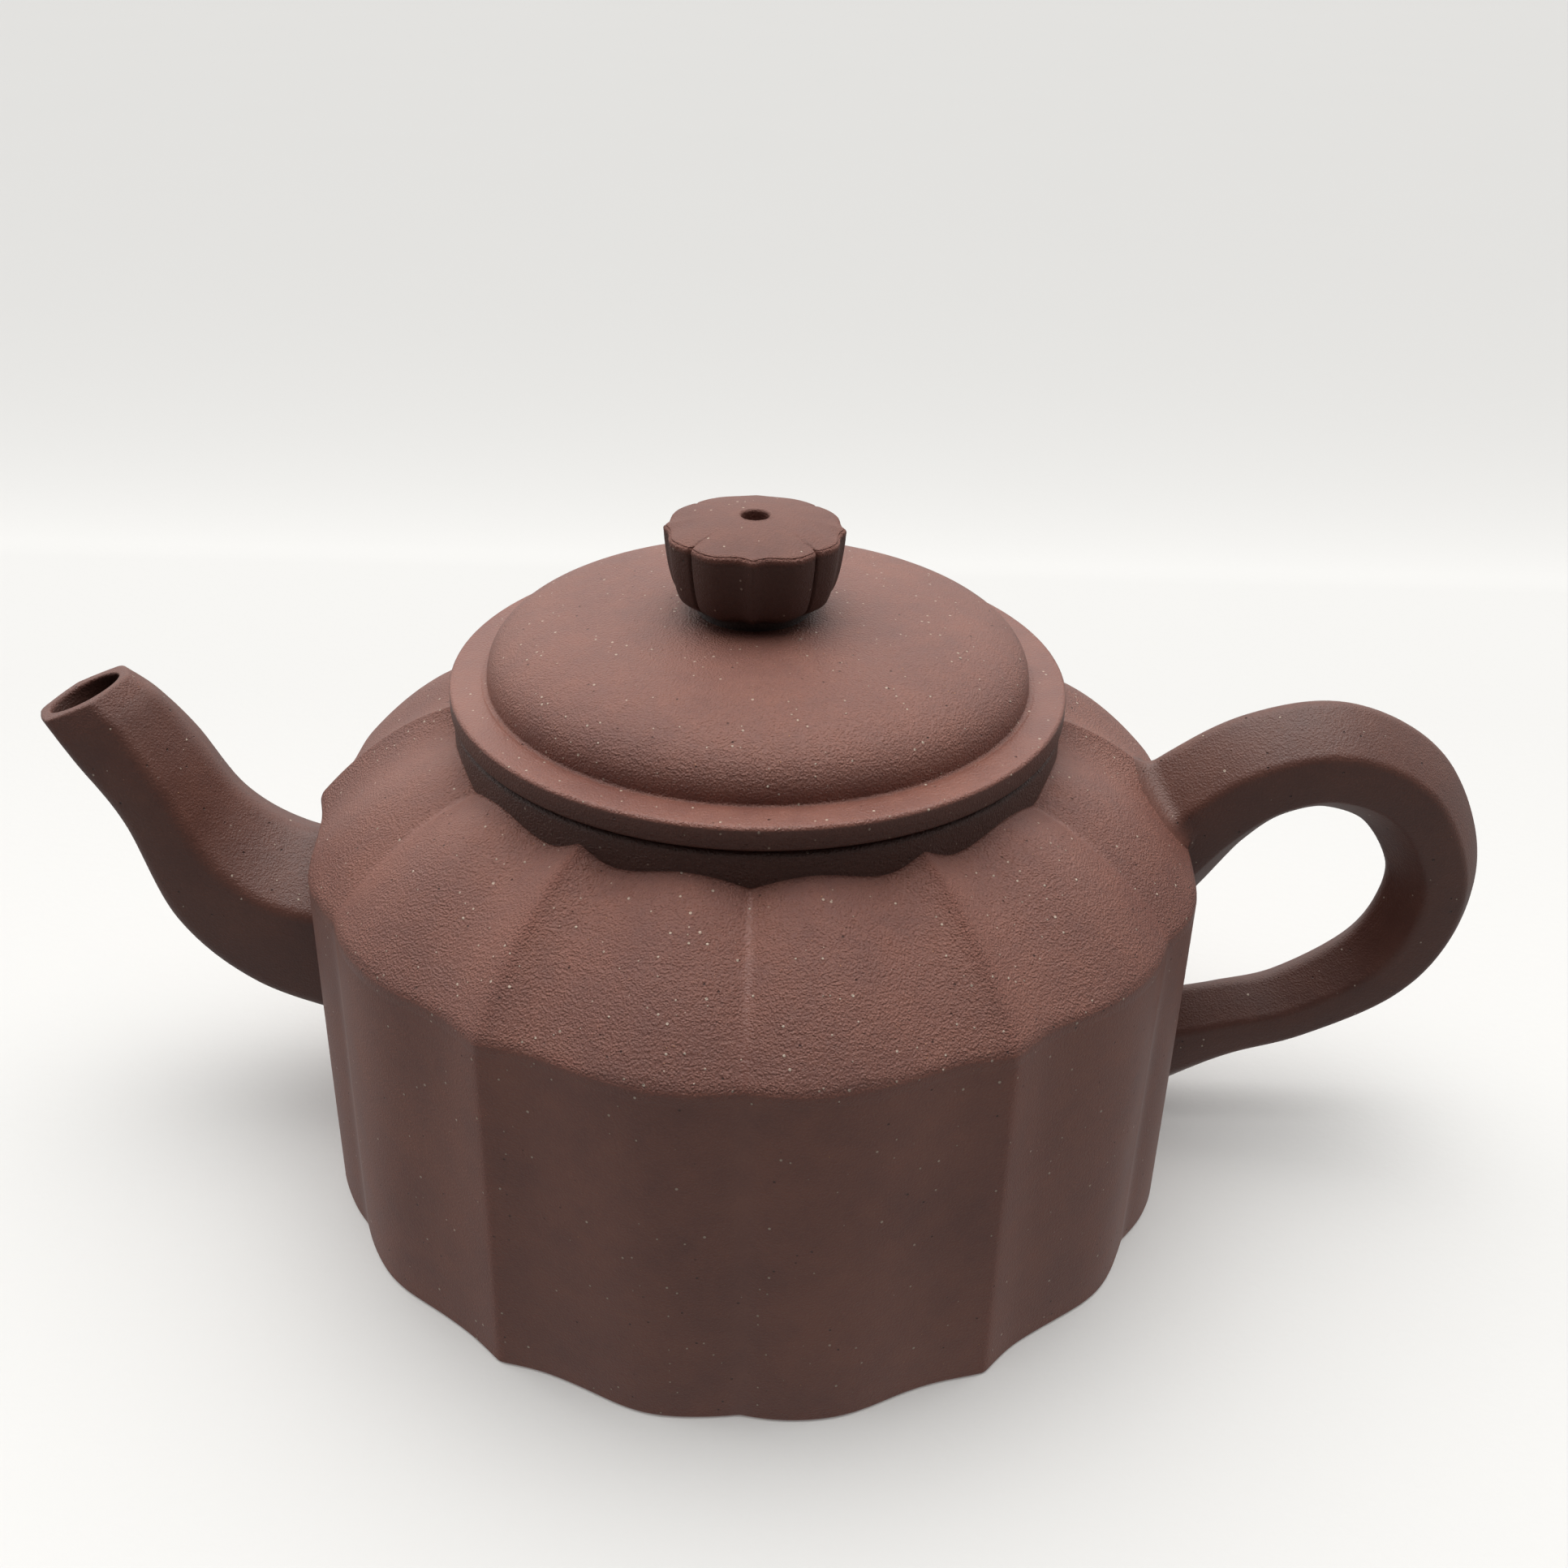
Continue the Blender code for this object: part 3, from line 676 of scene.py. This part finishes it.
def makeBore(outer, sections):
    # an oval that follows the outside, less the clay around it
    centre, up, halfWidth, soft = sections[0]
    edge = outer - centre
    angle = np.unwrap(np.arctan2(edge[:, 1], edge @ (up / np.linalg.norm(up))))
    even = angle[0] + np.sign(angle[-1] - angle[0]) * 2 * math.pi * np.arange(len(edge)) / len(edge)
    angle = even * 0.35 + angle * 0.65
    bore = []
    for (centre, up, halfWidth, soft), depth in zip(sections, np.linspace(0, 1, len(sections))):
        wall = spout["wall"][0] * (1 - depth) + spout["wall"][1] * depth
        endWall = spout["endWall"][0] * (1 - depth) + spout["endWall"][1] * depth
        high = up * (1 - endWall / np.linalg.norm(up))
        wide = np.array((0.0, halfWidth - wall, 0.0))
        bore.append(centre + np.cos(angle)[:, None] * high + np.sin(angle)[:, None] * wide)
    return np.array(bore)


def makeSpout():
    sections = spoutSections(24)[::-1]            # lip first, root last
    lines = np.array([softHexagon(centre, up, halfWidth, spout["flat"], soft, spout["puff"])
                      for centre, up, halfWidth, soft in sections])
    lengths = lengthsOf(lines)
    root = rootLengths(lines, lengths)
    fillet = np.full(lines.shape[1], spout["fillet"])
    lipRound = spout["lipRound"]
    rows = []
    for share in np.linspace(0, 1, 90)[:-1]:
        rows.append(placesAt(lines, lengths, lipRound * (1 - share) + (root - fillet) * share))
    rows += rootFillet(lines, lengths, root, fillet, 0.9)
    bore = makeBore(lines[0], sections)
    # the lip: round outer edge, flat face, round inner edge
    face = lines[0]
    toBore = bore[0] - face
    toBore /= np.linalg.norm(toBore, axis=-1, keepdims=True)
    down = bore[3] - bore[0]
    down /= np.linalg.norm(down, axis=-1, keepdims=True)
    outerEnd = face + toBore * lipRound
    innerStart = bore[0] - toBore * lipRound
    lip = bend(rows[0], face, outerEnd, 6)[1:]
    lip += [outerEnd * (1 - s) + innerStart * s for s in (0.25, 0.5, 0.75)]
    lip += bend(innerStart, bore[0], bore[0] + down * lipRound, 6)
    allRows = rows[::-1] + lip + list(bore[3:-6:3])
    edge = np.zeros(len(allRows))
    edge[len(rows) - 6:len(rows) + len(lip)] = 1.0
    # painted shade down the bore
    paintedShade = np.zeros(len(allRows))
    paintedShade[len(rows) + len(lip):] = spout["shadeAndDust"]
    marks = {"edge": edge[:, None], "paintedShade": paintedShade[:, None]}
    piece = claySkin("spout", allRows, joined=True, marks=marks)
    settle(piece, "pot", "clay_burnished", limbClay, "spout")


handle = {
    # out and up as shares of the loop's reach and height, how far the clay has thickened, and its
    # breadth as a share of the broadest
    "stations": ((-0.17, 0.683, 1.00, 1.00), (0.027, 0.848, 0.72, 1.00), (0.238, 0.962, 0.56, 1.00),
                 (0.506, 1.000, 0.48, 1.00), (0.789, 0.906, 0.30, 0.98), (0.974, 0.682, 0.16, 0.945),
                 (0.975, 0.464, 0.20, 0.89), (0.840, 0.276, 0.16, 0.82), (0.540, 0.123, 0.05, 0.76),
                 (0.275, 0.056, 0.18, 0.745), (0.071, 0.0, 0.49, 0.755), (-0.17, -0.075, 0.87, 0.78)),
    "reach": 0.0267,
    "rise": 0.0078,        # shoulder edge to the top of the centre line
    "foot": 0.0103,        # table to the centre line at the lower root
    "flat": 0.40,
    "depth": 0.0088,
    "rootDepth": 0.0165,
    "soft": (0.0008, 0.0011),
    "puff": 0.00008,
    "fillet": 0.0005,
    "collar": 0.0013,      # how much wider the clay is smeared on top of the shoulder
}


def makeHandle():
    top = edgeHeight + handle["rise"]
    foot = handle["foot"]
    stations = handle["stations"]
    centres = [(bodyRadius + handle["reach"] * s[0], 0.0, foot + (top - foot) * s[1]) for s in stations]
    line = smoothThrough(centres, 20)
    spare = handle["rootDepth"] - handle["depth"]
    sizes = smoothThrough([(handle["depth"] + spare * s[2], handleHigh.y * s[3]) for s in stations], 20)
    along = np.gradient(line, axis=0)
    along /= np.linalg.norm(along, axis=1, keepdims=True)
    outward = np.stack([-along[:, 2], 0 * along[:, 0], along[:, 0]], axis=1)
    shape = (handle["flat"], handle["soft"], handle["puff"])
    lines = np.array([softHexagon(centre, out * depth / 2, wide, *shape)
                      for centre, out, (depth, wide) in zip(line, outward, sizes)])
    middle = len(lines) // 2
    upper = lines[:middle + 1][::-1]        # from the middle of the loop to the upper root
    lower = lines[middle:]
    rows = []
    for half, wide in ((upper, handle["collar"]), (lower, 0.0)):
        lengths = lengthsOf(half)
        root = rootLengths(half, lengths)
        onTop = np.clip(bodyNormal(placesAt(half, lengths, root))[:, 2] / 0.5, 0.0, 1.0)
        fillet = handle["fillet"] + wide * onTop
        part = [placesAt(half, lengths, (root - fillet) * share) for share in np.linspace(0, 1, 110)[:-1]]
        part += rootFillet(half, lengths, root, fillet, 1.3)
        rows = part[::-1] if not rows else rows + part[1:]
    piece = claySkin("handle", rows)
    settle(piece, "pot", "clay_burnished", limbClay, "handle")


lid = {
    "rimDepth": 0.00244,
    "domeRadius": 0.02683,
    "edgePower": 3.2,      # how hard the dome turns over at its edge
    "topPower": 2.8,
    "thick": 0.0030,
    "vent": 0.00134,
    "rimRound": 0.00042,
    "groove": 0.00022,     # cove between the dome and the rim
    "dip": 0.00004,
    "ringWall": 0.0026,
    "ringRound": 0.0007,
    "shadeAndDust": 0.75,         # how dark the painted shade on the rim's side is
}
rimTop = plateLow.z + lid["rimDepth"]


def domeCurve(reach, height, base, steps, start=0.0, end=math.pi / 2):
    # from the middle out to the edge
    points = []
    for angle in np.linspace(start, end, steps):
        points.append((reach * math.sin(angle) ** (2 / lid["edgePower"]),
                       base + height * max(math.cos(angle), 0.0) ** (2 / lid["topPower"])))
    return points


def makeLidPlate():
    rim = plateHigh.x
    ease = lid["rimRound"]
    low = plateLow.z
    ring = flangeHigh.x - lid["ringWall"]
    cove = lid["groove"]
    domeBase = rimTop - lid["dip"]
    profile = [(ring, low)] + stretch((ring, low), (rim - ease, low), 6)
    profile += arc((rim - ease, low + ease), ease, -90, 0, 6)
    profile += arc((rim - ease, rimTop - ease), ease, 0, 90, 7)
    outerDip = lid["domeRadius"] + 2.0 * cove
    profile += stretch((rim - ease, rimTop), (outerDip + cove, rimTop), 4)
    profile += [(outerDip + cove * (1 - s), rimTop - lid["dip"] * (1 - math.cos(s * math.pi)) / 2)
                for s in np.linspace(0, 1, 6)]
    profile += arc((lid["domeRadius"] + cove, domeBase + cove), cove, 270, 180, 8)[1:]
    curve = domeCurve(lid["domeRadius"], plateHigh.z - rimTop, rimTop, 80)[::-1]
    ventReach = lid["vent"]
    profile += [p for p in curve if p[1] > domeBase + cove + 0.0001 and p[0] > ventReach * 1.6]
    profile += [(ventReach, plateHigh.z), (ventReach, plateHigh.z - lid["thick"])]
    inner = domeCurve(ring, plateHigh.z - lid["thick"] - low, low, 40)
    profile += [p for p in inner if p[0] > ventReach * 1.6][:-1]
    rows = turned(profile, 400)
    radius = np.array([p[0] for p in profile])[:, None]
    height = np.array([p[1] for p in profile])[:, None]
    steep = np.exp(-((radius - lid["domeRadius"] * 0.985) / 0.0012) ** 2) * (height > rimTop)
    fromEdge = np.hypot(radius - rim + ease * 0.3, height - rimTop + ease * 0.3)
    edge = 0.9 * np.exp(-(fromEdge / 0.0005) ** 2)
    onRim = ((radius > lid["domeRadius"] + cove) & (height > low + ease)) * 0.75
    # painted shade on the rim's side, below its top edge
    side = np.clip((rimTop - ease / 2 - height) / 0.00025, 0, 1)
    side = lid["shadeAndDust"] * (radius > rim - ease) * side
    marks = {"edge": edge + 0.25 * steep, "rubbed": onRim, "paintedShade": side}
    piece = claySkin("lidPlate", rows, joined=True, marks=marks)
    settle(piece, "lid", "clay_grained", lidClay, "lid_plate")


def makeLidRing():
    outer = flangeHigh.x
    inner = outer - lid["ringWall"]
    top = plateLow.z + tuck
    foot = flangeLow.z
    ease = lid["ringRound"]
    profile = [(outer, top)] + stretch((outer, top), (outer, foot + ease), 10)
    profile += arc((outer - ease, foot + ease), ease, 0, -90, 6)
    profile += arc((inner + ease, foot + ease), ease, 270, 180, 6)
    profile += stretch((inner, foot + ease), (inner, top), 10) + [(inner, top)]
    piece = claySkin("lidRing", turned(profile), joined=True)
    settle(piece, "lid_seat", "clay_hidden", innerClay, "lid_flange")


knob = {
    "lobes": 4,
    # share from slit to cusp, height there
    "turns": ((0.0, 0.45), (0.38, 1.0), (0.78, 0.22), (1.0, 1.0)),
    "depth": 0.0009,
    "backDepth": 0.25,     # share of that depth left at the back, away from the maker
    "soft": 0.015,
    "slit": 0.0005,        # how deep the slits between the lobes are cut
    "slitHalf": 0.00017,
    "crown": 0.0013,
    "footRadius": 0.0055,
    "footHeight": 0.0006,
    "footCove": 0.0003,
    # how far up the cup, and its width there as a share of the widest
    "sides": ((0.0, 0.70), (0.07, 0.79), (0.17, 0.88), (0.42, 0.945), (0.75, 0.985), (1.0, 1.0)),
    "edgeRound": 0.00025,
    "ventRound": 0.00030,
    "aside": (-0.0006, -0.0003),   # it was stuck on a little towards the spout and the maker
    "chips": 0.00006,
    "shadeAndDust": (1.0, 0.75),  # how dark the painted shade on its sides is, at the foot and at the rim
}


def makeKnob():
    turns = lobeTurns(knob["lobes"], 44, 0.7)
    shifted = turns + 0.5 / knob["lobes"]
    facing = 0.5 + 0.5 * np.cos(turns * 2 * math.pi)           # 1 at the front, 0 at the back
    share = knob["backDepth"] + (1 - knob["backDepth"]) * facing
    lobe = knob["depth"] * (1 - lobed(shifted, knob["lobes"], knob["turns"], knob["soft"])) * share
    along = np.mod(shifted * knob["lobes"] + 0.5, 1.0) - 0.5
    away = along / knob["lobes"] * 2 * math.pi * knobHigh.x
    lobe += knob["slit"] * share * np.exp(-(away / knob["slitHalf"]) ** 2)
    rim = knobHigh.z - knob["crown"]
    foot = plateHigh.z - tuck / 2
    cup = knobLow.z + knob["footHeight"]
    footRadius = knob["footRadius"]
    widest = knobHigh.x
    vent = lid["vent"]
    ease = knob["edgeRound"]

    def ring(share, height, inset=0.0):
        return polar((widest - lobe) * share - inset, turns, height)

    standing = ((vent, foot), (footRadius + 0.0002, foot), (footRadius, foot + knob["footCove"]),
                (footRadius, cup - 0.0001), (footRadius + 0.0001, cup))
    rows = [polar(radius, turns, z) for radius, z in standing]
    sides = [side for side in smoothThrough(knob["sides"], 8) if side[0] < 1 - 2 * ease / (rim - cup)]
    rows += [ring(share, cup + (rim - cup) * up) for up, share in sides]
    edgeFirst = len(rows)
    for inset, z in arc((ease, rim - ease), ease, 180, 90, 6):
        rows.append(ring(1.0, z, inset))
    edgeLast = len(rows)
    # the rings turn from lobed to round on the way in
    for share in np.linspace(0.97, (vent + knob["ventRound"]) / widest, 26):
        roundness = np.clip((0.9 - share) / 0.5, 0, 1)
        height = rim + knob["crown"] * (1 - share ** 2)
        smooth = polar(widest * share, turns, height)
        rows.append(ring(share, height) * (1 - roundness) + smooth * roundness)
    soft = knob["ventRound"]
    top = rim + knob["crown"]
    rows += [polar(vent + soft - soft * math.sin(a), turns, top - soft + soft * math.cos(a))
             for a in np.linspace(0.2, math.pi / 2, 6)]
    rows += [polar(vent, turns, z) for z in np.linspace(top - 2 * soft, foot + 0.0005, 6)]
    rows = np.array(rows)
    chips = np.sin(37 * turns * 2 * math.pi) * np.sin(23 * turns * 2 * math.pi + 1.0)
    chips += 0.6 * np.sin(71 * turns * 2 * math.pi)
    rows[edgeFirst:edgeLast, :, 2] -= knob["chips"] * np.abs(chips)
    rows[:, :, :2] += knob["aside"]
    edge = np.zeros(len(rows))
    edge[edgeFirst - 1:edgeLast + 1] = 0.9
    # painted shade on the knob's sides, darkest at the foot
    paintedShade = np.zeros(len(rows))
    paintedShade[:edgeFirst] = np.linspace(*knob["shadeAndDust"], edgeFirst)
    marks = {"edge": edge[:, None], "paintedShade": paintedShade[:, None]}
    piece = claySkin("knob", rows, joined=True, marks=marks)
    settle(piece, "lid", "clay_burnished", knobClay, "knob")


makeWall()
makeShoulder()
makeNeck()
makeBase()
print("body made")
makeSpout()
makeHandle()
print("spout and handle made")
makeLidPlate()
makeLidRing()
makeKnob()
print("lid and knob made")
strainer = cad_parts["spout_strainer"]
strainer.data.materials.clear()
strainer.data.materials.append(innerClay)


studio = {
    "floor": (0.875, 0.870, 0.858),
    "halfFloor": 4.0,
    "ownLight": 0.20,      # share of the paper's light that does not depend on shadows
    "near": (0.90, -0.05),  # painted light: tone of the paper in front of the pot, and how far forward it is reached
    "even": (0.82, 0.10),  # and behind it
    "brightBandStart": 0.158,       # where the painted bright band starts behind the pot; the paper itself stays flat
    "brightBandEdge": 110.0,     # how sharply it does
    "fold": 1.04,          # the painted light of that band
    "far": 0.82,           # and far behind
    "fadeFrom": -0.145,    # the fade is even, seen from this far forward
    "haloStart": 0.35,     # how far out the painted light on the rest of the paper starts to dim
    "haloFade": 2.0,       # how quickly it dims
    "halo": 0.16,          # and by how much
    "wall": (0.79, 0.785, 0.77),   # tone of the far wall all round
    "wallRadius": 3.9,
    "wallHeight": 6.0,
    "wallSides": 96,
    "low": 0.38,           # light that comes up from the table
    "horizon": 40.0,       # how sharply the light changes at the horizon
    "base": 1.05,          # light from the horizon behind
    "baseTurn": 0.22,      # how quickly it fades towards the maker
    "top": 5.7,            # more from a softbox overhead
    "gather": 9.0,         # how closely that gathers around straight up
    "topTurn": 0.62,       # how far forward it reaches
    "front": 0.02,         # what is left on the maker's side
    "left": 0.22,          # how much brighter the spout's side is than the handle's
}


def sheet(name, corners, faces, finish):
    mesh = bpy.data.meshes.new(name)
    mesh.from_pydata(corners, [], faces)
    mesh.materials.append(finish.owner)
    piece = bpy.data.objects.new(name, mesh)
    bpy.context.collection.objects.link(piece)
    return piece


def makeFloor():
    made = Finish("palePaper")
    place = made.add("ShaderNodeTexCoord", {}, {}, out="Object")
    fibre = made.noise(place, 0.0012, 4.0, 0.6)
    cloudy = made.noise(place, 0.08, 2.0, 0.5)
    tone = (0.5 + 0.3 * (fibre - 0.5) + 0.6 * (cloudy - 0.5)).held()
    low = [c * 0.985 for c in studio["floor"]]
    colour = made.mixed(rgb(*low), rgb(*studio["floor"]), tone)
    # painted light: the flat paper is painted brightest in a band behind the pot, where a sheet would turn
    # up, and then fades
    y = made.add("ShaderNodeSeparateXYZ", {}, {0: place}, out=1)
    (near, nearPlace), (even, evenPlace) = studio["near"], studio["even"]
    paper = even + (near - even) * ((evenPlace - y) / (evenPlace - nearPlace)).held()
    behind = ((y - studio["brightBandStart"] + 0.004) * studio["brightBandEdge"]).held()
    nearness = (studio["brightBandStart"] - studio["fadeFrom"]) / (y - studio["fadeFrom"])
    away = made.vector("LENGTH", place, out=1)
    outer = ((away - studio["haloStart"]) * studio["haloFade"]).held() * (1.0 - behind)
    paper = paper * (1.0 - outer * studio["halo"])
    faded = studio["fold"] + (studio["far"] - studio["fold"]) * (1.0 - nearness ** 5.0).held()
    paper = paper * (1.0 + behind * (faded - 1.0))
    colour = made.scaled(colour, paper)
    lit = made.scaled(colour, studio["ownLight"])
    colour = made.scaled(colour, 1 - studio["ownLight"])
    normal = made.add("ShaderNodeBump", {}, {"Strength": 0.5, "Distance": 0.00006, "Height": fibre})
    made.shade(Base_Color=colour, Normal=normal, Emission_Color=lit)
    made.shade(Roughness=0.9, Specular_IOR_Level=0.0, Emission_Strength=1.0)
    half = studio["halfFloor"]
    corners = [(-half, -half, 0), (half, -half, 0), (half, half, 0), (-half, half, 0)]
    floor = sheet("floor", corners, [(0, 1, 2, 3)], made)
    floor.visible_diffuse = False    # the pot takes its light from below off the darker table
    floor.visible_glossy = False


def makeBackdrop():
    # a far wall that the camera sees all round and that neither lights nor shades the pot
    made = Finish("farWall")
    place = made.add("ShaderNodeTexCoord", {}, {}, out="Object")
    cloudy = made.noise(place, 1.5, 2.0, 0.5)
    tone = made.mixed(rgb(*[c * 0.97 for c in studio["wall"]]), rgb(*studio["wall"]), cloudy)
    made.shade(Base_Color=rgb(0.0, 0.0, 0.0), Emission_Color=tone)
    made.shade(Roughness=1.0, Specular_IOR_Level=0.0, Emission_Strength=1.0)
    sides = studio["wallSides"]
    turns = np.arange(sides) / sides
    rings = np.concatenate([polar(studio["wallRadius"], turns, z) for z in (0.0, studio["wallHeight"])])
    quads = [(i, (i + 1) % sides, sides + (i + 1) % sides, sides + i) for i in range(sides)]
    wall = sheet("farWall", rings.tolist(), quads, made)
    for kind in ("visible_diffuse", "visible_glossy", "visible_transmission", "visible_shadow"):
        setattr(wall, kind, False)


def makeLight():
    world = bpy.data.worlds.new("studio")
    bpy.context.scene.world = world
    made = Finish("studio", world)
    place = made.add("ShaderNodeTexCoord", {}, {}, out="Generated")
    x = made.add("ShaderNodeSeparateXYZ", {}, {0: place}, out=0)
    y = made.add("ShaderNodeSeparateXYZ", {}, {0: place}, out=1)
    z = made.add("ShaderNodeSeparateXYZ", {}, {0: place}, out=2)
    behind = (0.5 + 0.5 * y / studio["baseTurn"]).held()
    overhead = (1.0 + y / studio["topTurn"]).held()
    softbox = studio["top"] * z.held() ** studio["gather"] * overhead
    sky = studio["front"] + studio["base"] * behind + softbox
    sky = sky * (1.0 - studio["left"] * x)
    up = (z * studio["horizon"]).held()
    background = made.tree.nodes["Background"]
    background.inputs["Color"].default_value = (1.0, 0.995, 0.98, 1.0)
    made.put(background.inputs["Strength"], sky * up + studio["low"] * (1.0 - up))


viewer = {
    "aim": (0.00283, 0.0, 0.0415),   # point on the pot's middle plane that the lens looks at
    "away": 0.1685,
    "down": 30.25,                   # degrees below the horizon
    "aside": 0.417,                  # and round from straight ahead
    "lean": 1.553,
    "lens": 37.055,
}


def makeCamera():
    down = math.radians(viewer["down"])
    aside = math.radians(viewer["aside"])
    lean = math.radians(viewer["lean"])
    forward = Vector((math.sin(aside), math.cos(aside), 0.0)) * math.cos(down)
    forward.z = -math.sin(down)
    level = Vector((math.cos(aside), -math.sin(aside), 0.0))
    upright = level.cross(forward)
    right = level * math.cos(lean) + upright * math.sin(lean)
    up = upright * math.cos(lean) - level * math.sin(lean)
    lens = bpy.data.cameras.new("camera")
    lens.lens = viewer["lens"]
    lens.sensor_width = 36.0
    lens.clip_start = 0.01
    lens.clip_end = 20.0
    camera = bpy.data.objects.new("camera", lens)
    looking = Matrix((right, up, -forward)).transposed().to_4x4()
    place = Vector(viewer["aim"]) - forward * viewer["away"]
    camera.matrix_world = Matrix.Translation(place) @ looking
    bpy.context.collection.objects.link(camera)
    bpy.context.scene.camera = camera


makeFloor()
makeBackdrop()
makeLight()
makeCamera()
bpy.context.scene.view_settings.view_transform = 'Standard'
print("stage, light and camera set")
